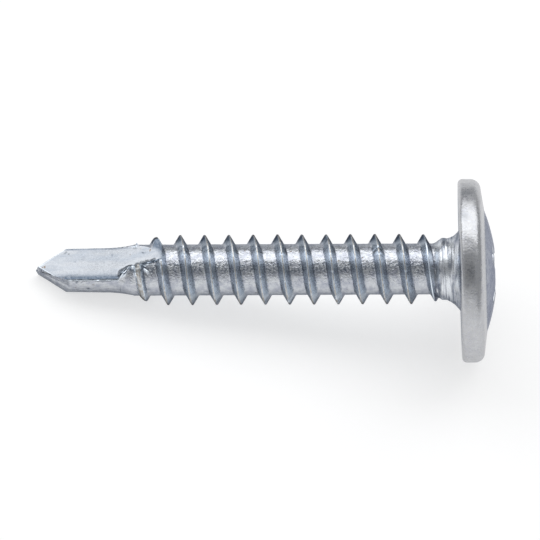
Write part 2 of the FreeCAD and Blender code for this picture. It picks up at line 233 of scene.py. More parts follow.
class Screw:
    """The screw's surface, in millimetres along its own X axis, angles in degrees from Y to Z."""

    # The thread. Places on it are distances below the bearing face.
    last_crest = 2.26
    thread_full_to = 2.6
    fade_length = 1.7
    crest_wander = 0.010
    nick_depth = 0.12
    nick_threshold = 0.62
    root_blend = 0.07
    # Distances from a crest of the rows that follow it, at the pitch that they were chosen for
    thread_rows = (0.0, 0.02, 0.036, 0.07, 0.13, 0.2, 0.27, 0.33, 0.38, 0.46, 0.56)
    thread_rows_pitch = 1.41

    # The first turn starts blunt and leaning, and rises and straightens as it goes
    thread_start = 19.2
    thread_start_ramp = 0.25
    blunt_turn_end = 18.2
    blunt_turn_height = 0.58
    blunt_turn_rise = 0.345
    blunt_turn_lean = 0.7
    blunt_turn_upright = 0.85
    blunt_turn_peak = 0.13
    blunt_turn_rounding = 2.0
    blunt_turn_wander = 0.012
    blunt_turn_reach = 16.0

    # The neck, up to the bearing face
    neck_length = 1.5
    neck_step = 0.45
    neck_fillet_radius = 1.35
    neck_fillet_length = 0.75
    neck_foot_radius = 2.38
    neck_ring_height = 0.014

    # The drill point. Places on it are distances from the tip.
    drill_length = 4.9
    drill_shoulder = 0.9
    point_turn = 9.3
    chisel_half = 0.12
    chisel_blunting = 0.8
    chisel_blunting_limit = 0.12

    # The relief behind each margin, turned on a centre of its own
    relief_offset = 0.683
    relief_turn = 35.3
    land_radius = 1.285
    land_back_taper = 0.075
    relief_straight = 4.0
    relief_run_out = 1.8
    relief_rise = 0.215

    flute_fillet = 0.3
    flute_length = 7.3
    flute_floor_least = 0.75
    # Distance from the tip, side and depth of the corner, lean of the rake face and of the floor
    flute_stations = (
        (-0.705, 1.05, 0.34, 22.6, 7.0),
        (4.76, 1.09, 0.5, 27.0, 12.2),
        (5.41, 0.58, 0.7, 12.5, 12.0),
        (7.3, 0.45, 1.495, 12.5, 2.4),
    )

    # The head. Heights on it are above the bearing face.
    rim_under_radius = 0.26
    rim_top_radius = 0.6
    flange_height = 1.3
    flange_edge_slope = 16.8
    dome_foot_height = 1.5
    dome_height = 2.12

    # The cross recess, at its mouth and at its floor
    recess_span = 4.4
    recess_floor_span = 2.29
    recess_wing = 0.95
    recess_floor_wing = 0.7
    recess_depth = 2.1
    recess_core = 2.5
    recess_floor_core = 1.47
    recess_floor_cone = 0.27
    recess_turn = 6.3
    recess_edge = 0.1

    # Stretch in which the head was struck aside
    struck_length = 0.9

    # Direction, from Y to Z, in which the photographed view looks up across the screw
    view_up = 35.3

    # The burr along a margin, and the places from the tip where it, its painted highlight and the painted
    # shade along the edge beside it end
    burr_height = 0.06
    burr_inset = 0.07
    burr_width = 0.045
    burr_end = 6.4
    burr_shine_end = 6.9
    dark_edge_end = 5.6

    # Rows of the drill point: how far the flanks' own rows reach, and where they get closer
    point_rows = 34
    point_rows_end = 2.5
    coarse_rows_end = 4.5
    coarse_row = 0.08
    close_row = 0.045
    # How much the columns of a land crowd towards its edges, and where they are even again
    land_crowding = 0.6
    column_settling = 1.1

    # Size of the bumps, seed, depth and how far they are drawn out, on the shank, rim and flutes
    textures = (
        (0.16, 11, 0.007, 1.0),
        (0.32, 12, 0.011, 1.0),
        (0.5, 13, 0.018, 0.4),
    )

    # Burrs and dents that the photo shows. Each has its place along the screw and its height across
    # the view, its length and width, the lean of its length, the direction in which it stands out,
    # from straight at the camera to upwards, how far, and how much dark film it holds.
    # Their film darkens the dents, partly as painted shade, and burrs that stand out far get a painted
    # highlight.
    marks = (
        # Where the near flute's rake face runs out into the thread
        (-19.58, -0.17, 0.40, 0.34, 30.0, 10.0, 0.26, 0.0),
        (-19.24, 0.12, 0.44, 0.20, 24.0, 20.0, 0.20, 0.0),
        (-19.42, -0.04, 0.30, 0.06, 38.0, 0.0, -0.050, 0.6),
        (-19.08, 0.02, 0.12, 0.18, 0.0, 0.0, -0.060, 0.8),
        (-18.86, -0.10, 0.14, 0.44, 8.0, 0.0, 0.14, 0.0),
        (-18.70, 0.28, 0.24, 0.20, 40.0, 0.0, 0.18, 0.0),
        (-18.55, 0.36, 0.08, 0.14, 0.0, 0.0, -0.04, 0.7),
        (-18.40, 0.33, 0.30, 0.26, 0.0, 0.0, 0.19, 0.0),
        (-18.24, -0.02, 0.62, 0.08, -36.0, 20.0, 0.060, 0.0),
        (-18.22, 0.11, 0.56, 0.07, -36.0, 0.0, -0.050, 0.9),
        (-18.30, -0.15, 0.50, 0.07, -36.0, 0.0, -0.045, 0.8),
        (-18.12, 0.44, 0.22, 0.20, 20.0, 10.0, 0.15, 0.0),
        (-17.80, 0.56, 0.36, 0.14, 20.0, 10.0, 0.12, 0.0),
        (-17.90, -0.08, 0.16, 0.24, -20.0, 0.0, -0.055, 0.9),
        (-17.86, 0.60, 0.40, 0.05, 24.0, 20.0, -0.030, 0.7),
        # On the floor of the flute
        (-18.34, 1.03, 0.30, 0.05, 2.0, 30.0, -0.040, 1.0),
        (-18.34, 1.16, 0.26, 0.04, -4.0, 50.0, -0.020, 0.5),
        (-18.85, 1.34, 0.22, 0.14, 0.0, 80.0, 0.080, 0.5),
        (-20.18, 0.88, 0.08, 0.14, 0.0, 30.0, -0.015, 0.7),
        (-20.65, 0.44, 0.09, 0.10, 0.0, 30.0, -0.010, 0.4),
        (-21.90, 0.61, 0.10, 0.08, 0.0, 30.0, -0.012, 0.6),
        (-22.33, 0.49, 0.10, 0.08, 0.0, 30.0, -0.010, 0.5),
        (-21.81, 0.85, 0.12, 0.12, -40.0, 30.0, 0.020, 0.0),
        (-22.88, 0.99, 0.24, 0.08, 20.0, 40.0, -0.020, 0.6),
        (-22.68, 1.01, 0.12, 0.12, 0.0, 40.0, 0.030, 0.0),
        # On the land and along its margin
        (-21.56, -1.07, 0.13, 0.12, 0.0, -40.0, -0.045, 1.0),
        (-23.47, -0.66, 0.42, 0.06, -66.0, -40.0, -0.030, 0.9),
        (-22.75, -0.72, 0.14, 0.08, 0.0, -25.0, -0.040, 0.7),
        (-22.22, -0.72, 0.16, 0.08, 0.0, -25.0, -0.040, 0.8),
        (-21.93, -0.71, 0.12, 0.07, 0.0, -25.0, -0.030, 0.6),
        (-20.68, -0.66, 0.18, 0.08, 0.0, -25.0, -0.040, 0.6),
        (-19.70, -1.12, 0.06, 0.40, 0.0, -45.0, -0.025, 0.5),
        (-18.07, -1.12, 0.22, 0.10, 0.0, -45.0, -0.025, 0.8),
        # On the crest that the flute cuts
        (-17.62, 1.92, 0.22, 0.22, 0.0, 90.0, -0.060, 0.8),
        (-17.78, 1.56, 0.60, 0.12, 60.0, 20.0, 0.045, 0.0),
        (-17.50, 1.44, 0.30, 0.20, -60.0, 30.0, -0.040, 0.9),
        # On the head's rim. The first, across its middle, holds a painted reflection of the dark camera side.
        (0.58, -0.12, 0.34, 0.60, 0.0, 0.0, -0.012, 0.30),
        (0.30, 3.20, 0.50, 0.50, 0.0, 0.0, -0.010, 0.35),
        (0.45, 4.50, 0.80, 0.40, 0.0, 0.0, -0.006, 0.30),
    )
    # A burr that stands out further than this gets a painted highlight
    painted_sheen_height = 0.05

    def __init__(self, sizes):
        self.tip = -sizes.length / MM
        self.thread_radius = sizes.thread_diameter / MM / 2.0
        self.root_radius = sizes.root_diameter / MM / 2.0
        self.pitch = sizes.pitch / MM
        self.flank_tangent = math.tan(sizes.thread_angle / 2.0)
        self.half_crest = sizes.crest_width / MM / 2.0
        self.neck_radius = sizes.neck_diameter / MM / 2.0
        self.drill_radius = sizes.drill_diameter / MM / 2.0
        self.point_tangent = math.tan(sizes.point_angle / 2.0)
        self.head_radius = sizes.head_diameter / MM / 2.0
        self.dome_radius = sizes.dome_diameter / MM / 2.0
        self.flute_end = self.tip + self.flute_length
        self.neck_start = -self.neck_fillet_length - 0.15
        # Columns start between two wings of the recess
        self.first_angle = self.recess_turn + 45.0
        self.grids = []
        self.finishes = []

    def along_thread(self, x, angle):
        """Distance from the middle of the nearest crest, and how many turns along it is."""
        turns = (x + self.last_crest) / self.pitch - angle / 360.0
        return (turns - np.round(turns)) * self.pitch, np.round(turns) + angle / 360.0

    def blunt_crest(self, x, angle):
        """Radius of the first turn's crest, blunt where the thin blank didn't fill the die."""
        beside, helix = self.along_thread(x, angle)
        crest_x = self.pitch * helix - self.last_crest
        rise = (crest_x + self.blunt_turn_end) * self.blunt_turn_rise
        filled = np.clip(self.blunt_turn_height + rise, self.blunt_turn_height, 1.0)
        clear_of_crest = self.thread_radius + 0.05
        full = mix(self.root_radius, clear_of_crest, filled)
        full = full + self.blunt_turn_wander * wander(helix * 61.0, 6)
        lean = self.blunt_turn_lean * np.clip((self.blunt_turn_upright - filled) / 0.25, 0.0, 1.0)
        full = full + lean * (beside - self.blunt_turn_peak) - self.blunt_turn_rounding * beside ** 2
        begun = np.clip((crest_x + self.thread_start) / self.thread_start_ramp, 0.0, 1.0)
        return mix(self.root_radius - 0.2, full, begun)

    def thread(self, x, angle):
        """Radius of the thread ridge, which falls below the shank between its turns."""
        beside, helix = self.along_thread(x, angle)
        flank_drop = np.maximum(np.abs(beside) - self.half_crest, 0.0) / self.flank_tangent
        nicks = np.maximum(wander(helix * 47.0, 5) - self.nick_threshold, 0.0) * self.nick_depth
        crest = self.thread_radius + self.crest_wander * wander(helix * 23.0, 3) - nicks
        fade_from = self.thread_radius + 2.0 * self.half_crest
        faded = (self.pitch * helix - self.last_crest + self.thread_full_to) / self.fade_length
        fade = mix(fade_from, self.neck_radius, faded)
        return np.minimum(np.minimum(crest, fade) - flank_drop, self.blunt_crest(x, angle))

    def shank(self, x):
        """Radius under the thread: the shank, the neck, and the blank of the drill point."""
        along = x - self.tip
        step = np.clip((x + self.neck_length) / self.neck_step, 0.0, 1.0)
        neck = mix(self.root_radius, self.neck_radius, step)
        shoulder = np.clip((along - self.drill_length) / self.drill_shoulder, 0.0, 1.0)
        drill = mix(self.drill_radius, self.root_radius, shoulder)
        return np.maximum(neck, drill)

    def relief(self, x, angle, side):
        """Radius that one land's relief leaves."""
        along = x - self.tip
        taper = self.land_back_taper * np.clip(1.0 - along / self.relief_straight, 0.0, 1.2)
        arc = (self.relief_run_out ** 2 + self.relief_rise ** 2) / (2.0 * self.relief_rise)
        past = np.clip(along - self.relief_straight, 0.0, self.relief_run_out)
        rise = arc - np.sqrt(arc ** 2 - past ** 2)
        wall = np.maximum(along - self.relief_straight - self.relief_run_out, 0.0) * 4.0
        radius = self.relief_offset + self.land_radius - taper + rise + wall
        turned = np.radians(angle - self.relief_turn - side * 180.0)
        across = self.relief_offset * np.sin(turned)
        return self.relief_offset * np.cos(turned) + np.sqrt(radius ** 2 - across ** 2)

    def outside(self, x, angle):
        """Radius of the surface without its flutes."""
        radius = soft_max(self.thread(x, angle), self.shank(x), self.root_blend)
        radius = np.minimum(radius, self.relief(x, angle, 0))
        return np.minimum(radius, self.relief(x, angle, 1))

    def flute_lines(self, along):
        """Corner of the flute and the directions of its rake face and floor, at places on it."""
        stations = np.array(self.flute_stations)
        side, depth, rake, floor = (np.interp(along, stations[:, 0], stations[:, n]) for n in range(1, 5))
        rake = np.radians(rake)
        floor = np.radians(floor)
        corner = np.stack((-side, depth), axis=-1)
        rake_way = np.stack((-np.sin(rake), np.cos(rake)), axis=-1)
        floor_way = np.stack((np.cos(floor), np.sin(floor)), axis=-1)
        half_corner = (math.pi / 2.0 + rake - floor) / 2.0
        return corner, rake_way, floor_way, half_corner

    def reach(self, x, start, way, half_turn, least):
        """Distance along a line of the section from a point inside it to the outside."""
        near = np.zeros_like(x)
        far = np.full_like(x, 3.0)
        for _ in range(24):
            middle = (near + far) / 2.0
            point = start + way * middle[..., None]
            angle = np.degrees(np.arctan2(point[..., 1], point[..., 0])) + half_turn
            inside = np.hypot(point[..., 0], point[..., 1]) < self.outside(x, angle)
            near = np.where(inside, middle, near)
            far = np.where(inside, far, middle)
        return np.maximum(near, least)

    def flute_section(self, x, half_turn):
        """Points of half a section through the drill point, column by column, for each place x."""
        corner, rake_way, floor_way, half_corner = self.flute_lines(x - self.tip)
        tangent = (self.flute_fillet / np.tan(half_corner))[..., None]
        floor_start = corner + floor_way * tangent
        rake_start = corner + rake_way * tangent
        floor_width = self.reach(x, floor_start, floor_way, half_turn, self.flute_floor_least)
        rake_width = self.reach(x, rake_start, rake_way, half_turn, 0.0)
        heel = floor_start + floor_way * floor_width[..., None]
        margin = rake_start + rake_way * rake_width[..., None]

        # The chisel edge meets the floor where the floor crosses its direction
        chisel = math.radians(self.point_turn + 90.0)
        chisel_normal = np.array((-math.sin(chisel), math.cos(chisel)))
        along_floor = -(corner @ chisel_normal) / (floor_way @ chisel_normal)
        chisel_end = corner + floor_way * along_floor[..., None]

        columns = []
        for share in np.arange(FLOOR_TO_CHISEL) / FLOOR_TO_CHISEL:
            columns.append(mix(heel, chisel_end, share))
        for share in np.arange(CHISEL_TO_CORNER) / CHISEL_TO_CORNER:
            columns.append(mix(chisel_end, floor_start, share))
        middle_way = rake_way + floor_way
        middle_way /= np.linalg.norm(middle_way, axis=-1, keepdims=True)
        centre = corner + middle_way * (self.flute_fillet / np.sin(half_corner))[..., None]
        from_centre = floor_start - centre
        to_centre = rake_start - centre
        for share in np.arange(CORNER) / CORNER:
            point = mix(from_centre, to_centre, share)
            point *= self.flute_fillet / np.linalg.norm(point, axis=-1, keepdims=True)
            columns.append(centre + point)
        for share in np.arange(RAKE) / RAKE:
            columns.append(mix(rake_start, margin, share))
        points = np.stack(columns, axis=-2)

        # In the run-out the flute can't stand proud of the shank
        angle = np.degrees(np.arctan2(points[..., 1], points[..., 0]))
        radius = np.hypot(points[..., 0], points[..., 1])
        angle = angle + half_turn
        radius = np.minimum(radius, self.outside(x[..., None], angle))
        margin_angle = np.degrees(np.arctan2(margin[..., 1], margin[..., 0])) + half_turn
        return angle, radius, margin_angle

    def burr(self, x, angle, seed):
        """Height of the burr that the pinching dies left along the edge of a land."""
        beside = np.radians(angle - angle[..., :1]) * self.drill_radius
        along = (x - self.tip)[..., None]
        height = self.burr_height * (0.75 + 0.45 * wander(along * 5.0, seed))
        end = np.clip((self.burr_end - along) / 0.8, 0.0, 1.0)
        return height * end * np.exp(-((beside - self.burr_inset) / self.burr_width) ** 2)

    def section(self, x):
        """Angle and radius of each column around the drill point, for each place x."""
        first_angle, first_radius, first_margin = self.flute_section(x, 0.0)
        second_angle, second_radius, second_margin = self.flute_section(x, 180.0)
        share = np.arange(LAND) / LAND
        share = share - self.land_crowding * np.sin(2.0 * math.pi * share) / (2.0 * math.pi)
        first_land = mix(first_margin[..., None], second_angle[..., :1], share)
        second_land = mix(second_margin[..., None], first_angle[..., :1] + 360.0, share)
        land_radius = self.outside(x[..., None], first_land) + self.burr(x, first_land, 21)
        other_radius = self.outside(x[..., None], second_land) + self.burr(x, second_land, 22)
        angle = np.concatenate((first_angle, first_land, second_angle, second_land,
                                first_angle[..., :1] + 360.0), axis=-1)
        radius = np.concatenate((first_radius, land_radius, second_radius, other_radius,
                                 first_radius[..., :1]), axis=-1)
        return angle, radius

    def add_grid(self, x, angle, radius, flute=0.0, film=0.0, rim=0.0, wear_and_sheen=0.0):
        """Keep a grid of points given by place along the screw, angle and radius.

        The finish goes with it: how far each point is flute, thread flank and rim, and its film, which also
        holds painted shade. The last share lifts points into the flank colour as painted highlight.
        """
        turned = np.radians(angle)
        y = radius * np.cos(turned)
        z = radius * np.sin(turned)
        x = np.broadcast_to(x, y.shape)
        shank = self.shank(x)
        ridge = np.clip((radius - shank) / (self.thread_radius - shank), 0.0, 1.0)
        # A blunt crest is as rough and dull as a full one
        blunt = np.clip(1.0 - (self.blunt_crest(x, angle) - radius) / 0.01, 0.0, 1.0)
        blunt = blunt * np.clip((ridge - 0.12) / 0.1, 0.0, 1.0)
        ridge = np.where(x < -self.blunt_turn_reach, np.maximum(ridge, blunt), ridge)
        ridge = np.where(x < -self.neck_length, ridge * (1.0 - flute), 0.0)
        ridge = np.maximum(ridge, wear_and_sheen)
        flute = flute * (1.0 - np.asarray(wear_and_sheen))
        channels = (flute, ridge, rim, film)
        finish = np.stack([np.broadcast_to(channel, y.shape) for channel in channels], axis=-1)
        self.grids.append(np.stack((x, y, z), axis=-1))
        self.finishes.append(finish)

    def wear(self, points, finish):
        """Push in the dents and pull out the burrs, and roughen the shank and the rim."""
        up_turn = math.radians(self.view_up)
        back_turn = up_turn + math.pi / 2.0
        up = np.array((0.0, math.cos(up_turn), math.sin(up_turn)))
        back = np.array((0.0, math.cos(back_turn), math.sin(back_turn)))
        height = points @ up
        near = points @ back > 0.0
        pushed = points.copy()
        for place, level, length, width, lean, stand, far, film in self.marks:
            along = points[:, 0] - place
            across = height - level
            turned = math.radians(lean)
            long_way = along * math.cos(turned) + across * math.sin(turned)
            wide_way = across * math.cos(turned) - along * math.sin(turned)
            share = np.exp(-((2.0 * long_way / length) ** 2 + (2.0 * wide_way / width) ** 2)) * near
            stand_turn = math.radians(stand)
            way = back * math.cos(stand_turn) + up * math.sin(stand_turn)
            pushed += share[:, None] * far * way
            # Dark film with painted shade in the dents
            finish[:, 3] = np.maximum(finish[:, 3], share * film)
            # Painted highlight on the burrs that stand out far
            if far > self.painted_sheen_height:
                bright = np.minimum(1.6 * share, 1.0)
                finish[:, 1] = np.maximum(finish[:, 1], 0.6 * bright)
                finish[:, 0] *= 1.0 - bright

        radial = points * (0.0, 1.0, 1.0)
        radius = np.linalg.norm(radial, axis=1, keepdims=True)
        radial /= np.maximum(radius, 0.5)
        below_neck = points[:, 0] < 0.05 - self.neck_length
        shank = (1.0 - finish[:, 0]) * (1.0 - finish[:, 1]) * below_neck
        for (size, seed, depth, stretch), share in zip(self.textures, (shank, finish[:, 2], finish[:, 0])):
            bumps = rumple(points * (stretch, 1.0, 1.0), size, seed)
            pushed += radial * (bumps * depth * share)[:, None]
        return pushed

    def flank_height(self, y, z):
        """How far the flanks of the point fall back from the tip at a place of the section."""
        turned = math.radians(self.point_turn)
        across = y * math.cos(turned) + z * math.sin(turned)
        along = z * math.cos(turned) - y * math.sin(turned)
        blunted = self.chisel_blunting * np.maximum(np.abs(along) - self.chisel_half, 0.0) ** 2
        return np.abs(across) / self.point_tangent + np.minimum(blunted, self.chisel_blunting_limit)

    def column_finish(self):
        """For each column around the drill point, whether it is flute, and how much painted shade, with some
        dark film, darkens its corner.
        """
        flute = np.zeros(COLUMNS + 1)
        corner = np.zeros(COLUMNS + 1)
        for start in (0, HALF):
            rake = start + FLOOR_TO_CHISEL + CHISEL_TO_CORNER + CORNER
            flute[start:rake + RAKE] = 1.0
            corner[rake - CORNER - 4:rake - CORNER] = (0.1, 0.25, 0.5, 0.8)
            corner[rake - CORNER:rake + RAKE] = 1.0
        flute[-1] = 1.0
        return flute, corner

    def column_burr(self):
        """For each column around the drill point, how much painted highlight the burr along a margin gets."""
        burr = np.zeros(COLUMNS + 1)
        for start in (HALF - LAND, COLUMNS - LAND):
            burr[start:start + 5] = (0.6, 0.6, 0.6, 0.6, 0.3)
        return burr

    def column_heel(self):
        """For each column around the drill point, how much painted shade darkens it where a flute's floor
        ends.
        """
        heel = np.zeros(COLUMNS + 1)
        for start in (0, HALF):
            heel[start:start + 2] = (0.8, 0.6)
            heel[start + HALF - 4:start + HALF] = (0.5, 0.8, 1.0, 1.0)
        heel[-1] = 1.0
        return heel

    def build_point(self):
        """Flanks, and the fluted stretch up to the thread."""
        full = self.tip + self.point_rows_end
        places = np.arange(self.tip, full + 0.1, 0.02)
        angle_table, radius_table = self.section(places)
        columns = np.arange(COLUMNS + 1)
        edge = np.full(COLUMNS + 1, self.tip + 1.0)

        def at(x):
            """Section points at a place of its own for each column."""
            angle = [np.interp(x[n], places, angle_table[:, n]) for n in columns]
            radius = [np.interp(x[n], places, radius_table[:, n]) for n in columns]
            return np.array(angle), np.array(radius)

        for _ in range(12):
            angle, radius = at(edge)
            turned = np.radians(angle)
            edge = self.tip + self.flank_height(radius * np.cos(turned), radius * np.sin(turned))
        angle, radius = at(edge)

        # The lips are a little blunt, so the flanks stop short of the edge row
        flank_share = np.array((0.0, 0.12, 0.3, 0.5, 0.7, 0.86, 0.95, 1.0))[:, None]
        flank_x = self.tip + (edge - self.tip) * flank_share
        self.add_grid(flank_x, np.broadcast_to(angle, flank_x.shape), radius * flank_share)
        flute, corner = self.column_finish()
        heel = self.column_heel()

        rows = [mix(edge, full, share ** 1.2) for share in np.linspace(0.0, 1.0, self.point_rows)]
        found = [at(row) for row in rows]
        lip_and_burr_sheen = np.broadcast_to(self.column_burr(), (len(rows), COLUMNS + 1)).copy()
        # Painted highlight: the rows just behind the lips take the bright flank colour
        lip_and_burr_sheen[1:3] = np.maximum(lip_and_burr_sheen[1:3], 0.6 * flute)
        # Painted shade, with some dark film, in the flute corners and along the heels; the lips' edge row is
        # darkened
        film_and_shade_rows = np.broadcast_to(np.maximum(corner, heel), lip_and_burr_sheen.shape).copy()
        film_and_shade_rows[0] = np.maximum(film_and_shade_rows[0], 0.9 * flute)
        self.add_grid(np.array(rows), np.array([f[0] for f in found]), np.array([f[1] for f in found]),
                      flute, film_and_shade_rows, wear_and_sheen=lip_and_burr_sheen)

        coarse_end = self.tip + self.coarse_rows_end
        drill_places = np.concatenate((
            np.arange(full, coarse_end, self.coarse_row),
            np.arange(coarse_end, self.flute_end, self.close_row),
            [self.flute_end],
        ))
        angle, radius = self.section(drill_places)
        x = drill_places[:, None]
        from_tip = x - self.tip
        cut = self.outside(x, angle) - radius > 0.004
        # Painted highlight along the burr at each margin, fading out away from the tip
        wear_and_sheen = self.column_burr() * np.clip((self.burr_shine_end - from_tip) / 0.4, 0.0, 1.0)
        # Painted shade, with some dark film, in each flute's corner, and painted shade along the heels
        film = np.maximum(corner * cut, heel * np.clip(self.dark_edge_end - from_tip, 0.0, 1.0))
        # The crest that the flute cuts is dark
        film = np.maximum(film, cut * np.clip((radius - 1.45) / 0.12, 0.0, 1.0))
        self.add_grid(x, angle, radius, flute * cut, film, wear_and_sheen=wear_and_sheen)

        # The end of the flute: its wall, up to the unbroken thread
        last = angle[-1].copy()
        for start in (0, HALF):
            stop = start + HALF - LAND
            last[start:stop] = np.linspace(last[start], last[stop], HALF - LAND, endpoint=False)
        wall_angle = np.stack((angle[-1], last))
        wall_radius = np.stack((radius[-1], self.outside(self.flute_end, last)))
        self.add_grid(self.flute_end, wall_angle, wall_radius)
        return last

    def build_thread(self, flute_angles):
        """The threaded shank, whose rows follow the helix so that crest and flanks stay crisp."""
        half_rows = np.array(self.thread_rows) / self.thread_rows_pitch
        row_places = np.concatenate((half_rows, [0.5], 1.0 - half_rows[:0:-1])) * self.pitch
        turns = math.ceil((self.neck_start - self.flute_end) / self.pitch) + 2
        start = -self.last_crest - self.pitch * (turns - 1)
        rows = np.concatenate([start + self.pitch * turn + row_places for turn in range(turns)])
        even = self.first_angle + 360.0 * np.arange(COLUMNS + 1) / COLUMNS
        angle = np.broadcast_to(even, (len(rows), COLUMNS + 1)).copy()
        for _ in range(6):
            x = rows[:, None] + self.pitch * angle / 360.0
            x = np.clip(x, self.flute_end, self.neck_start)
            share = np.clip((x - self.flute_end) / self.column_settling, 0.0, 1.0)
            share = share * share * (3.0 - 2.0 * share)
            angle = mix(flute_angles, even, share)
        self.add_grid(x, angle, self.outside(x, angle))
        return even

    def build_head(self, even):
        """Neck fillet, bearing face, rim, flange and dome, down to the mouth of the recess."""
        rim = self.head_radius
        slope = math.radians(self.flange_edge_slope)
        rim_edge = self.flange_height - self.rim_top_radius * math.cos(slope)
        flange_edge = rim - self.rim_top_radius * (1.0 - math.sin(slope))
        neck = (-self.neck_fillet_length, self.neck_radius)
        foot = (0.0, self.neck_foot_radius)
        under = (0.0, rim - self.rim_under_radius)
        rim_low = (self.rim_under_radius, rim)
        rim_high = (rim_edge, rim)
        flange = (self.flange_height, flange_edge)
        dome_foot = (self.dome_foot_height, self.dome_radius)
        profile = np.concatenate((
            [(self.neck_start, self.neck_radius)],
            arc_points(neck, foot, self.neck_fillet_radius, 16),
            [(0.0, mix(self.neck_foot_radius, under[1], share)) for share in (0.03, 0.3, 0.7, 0.97)],
            arc_points(under, rim_low, -self.rim_under_radius, 6),
            [(mix(rim_low[0], rim_high[0], share), rim) for share in (0.15, 0.35, 0.6, 0.85)],
            arc_points(rim_high, flange, -self.rim_top_radius, 9),
            [(mix(flange[0], dome_foot[0], share), mix(flange[1], dome_foot[1], share))
             for share in (0.06, 0.35, 0.65, 0.94, 1.0)],
        ))
        # Rings that the die left on the neck
        on_neck = np.clip(-profile[:, 0] / 0.1, 0.0, 1.0)
        rings = self.neck_ring_height * wander(profile[:, 0] * 11.0, 31) * on_neck
        profile[1:, 1] += rings[1:]
        x = profile[:, 0][:, None]
        radius = np.broadcast_to(profile[:, 1][:, None], (len(profile), COLUMNS + 1))
        on_flange = np.clip((radius - self.dome_radius) / 0.3, 0.0, 1.0)
        on_underside = np.clip((radius - 4.4) / 0.5, 0.0, 1.0)
        on_rim = np.where(x > 0.8, on_flange, on_underside)
        self.add_grid(x, np.broadcast_to(even, radius.shape), radius, rim=on_rim)

    def dome_at(self, radius):
        """Height of the dome at a distance from the axis."""
        rise = self.dome_height - self.dome_foot_height
        ball = (rise ** 2 + self.dome_radius ** 2) / (2.0 * rise)
        return self.dome_height - ball + np.sqrt(ball ** 2 - radius ** 2)

    def recess_outline(self, depth, grow):
        """Points of the cross at a depth below the dome's top, wing by wing."""
        share = depth / self.recess_depth
        span = mix(self.recess_span, self.recess_floor_span, share) / 2.0 + grow
        wing = mix(self.recess_wing, self.recess_floor_wing, share) / 2.0 + grow
        core = mix(self.recess_core, self.recess_floor_core, share) / 2.0 + grow
        joint = np.sqrt(core ** 2 - wing ** 2)
        joint_angle = np.arctan2(wing, joint)
        quarter = COLUMNS // 4
        number = np.arange(COLUMNS + 1) % quarter
        mirrored = np.minimum(number, quarter - number)
        round_share = np.clip(mirrored / RECESS_CORE, 0.0, 1.0)
        side_share = np.clip((mirrored - RECESS_CORE) / RECESS_SIDE, 0.0, 1.0)
        tip_share = np.clip((mirrored - RECESS_CORE - RECESS_SIDE) / RECESS_TIP, 0.0, 1.0)
        turned = mix(math.pi / 4.0, joint_angle, round_share)
        on_core = mirrored <= RECESS_CORE
        along = np.where(on_core, core * np.cos(turned), mix(joint, span, side_share))
        across = np.where(on_core, core * np.sin(turned), wing * (1.0 - tip_share))
        across = np.where(number * 2 < quarter, -across, across)
        wing_number = np.arange(COLUMNS + 1) // quarter
        wing_turn = np.radians(self.recess_turn + 90.0 + 90.0 * wing_number)
        y = along * np.cos(wing_turn) - across * np.sin(wing_turn)
        z = along * np.sin(wing_turn) + across * np.cos(wing_turn)
        return y, z

    def mouth(self, grow):
        """The cross where it meets the dome, grown by a small distance."""
        depth = np.zeros(COLUMNS + 1)
        for _ in range(6):
            y, z = self.recess_outline(depth, grow)
            depth = self.dome_height - self.dome_at(np.hypot(y, z))
        return depth, y, z

    def build_recess(self, even):
        """The dome around the cross recess, its rounded mouth, walls and floor."""
        turned = np.radians(even)
        outer_y = self.dome_radius * np.cos(turned)
        outer_z = self.dome_radius * np.sin(turned)
        edge = self.recess_edge
        _, lip_y, lip_z = self.mouth(edge)
        rows = []
        for share in (0.0, 0.04, 0.15, 0.3, 0.45, 0.6, 0.74, 0.86, 0.95, 1.0):
            y = mix(outer_y, lip_y, share)
            z = mix(outer_z, lip_z, share)
            rows.append((self.dome_at(np.hypot(y, z)), y, z))
        for step in (0.3, 0.6, 0.85, 1.0):
            round_angle = step * math.pi / 2.0
            depth, y, z = self.mouth(edge * (1.0 - math.sin(round_angle)))
            drop = edge * (1.0 - math.cos(round_angle))
            rows.append((self.dome_height - depth - drop, y, z))
        mouth_depth = depth + edge
        for share in (0.12, 0.35, 0.6, 0.85, 1.0):
            wall_depth = mix(mouth_depth, self.recess_depth, share)
            y, z = self.recess_outline(wall_depth, 0.0)
            rows.append((self.dome_height - wall_depth, y, z))
        floor_y, floor_z = y, z
        floor_x = self.dome_height - self.recess_depth
        for share in (0.85, 0.5, 0.2, 0.0):
            radius = np.hypot(floor_y, floor_z) * share
            cone = np.clip(1.0 - radius / (self.recess_floor_core / 2.0), 0.0, 1.0)
            rows.append((floor_x - self.recess_floor_cone * cone, floor_y * share, floor_z * share))
        grid = np.array([np.stack(row, axis=-1) for row in rows])
        self.grids.append(grid)
        self.finishes.append(np.zeros((*grid.shape[:2], 4)))

    def build(self):
        """All vertices and faces, as arrays."""
        flute_angles = self.build_point()
        even = self.build_thread(flute_angles)
        self.build_head(even)
        self.build_recess(even)
        vertices = []
        faces = []
        count = 0
        for grid in self.grids:
            rows, columns, _ = grid.shape
            vertices.append(grid.reshape(-1, 3))
            faces.append(grid_faces(count, rows, columns))
            count += rows * columns
        points = np.concatenate(vertices)
        finish = np.concatenate([finish.reshape(-1, 4) for finish in self.finishes])
        return self.wear(points, finish), finish, np.concatenate(faces)


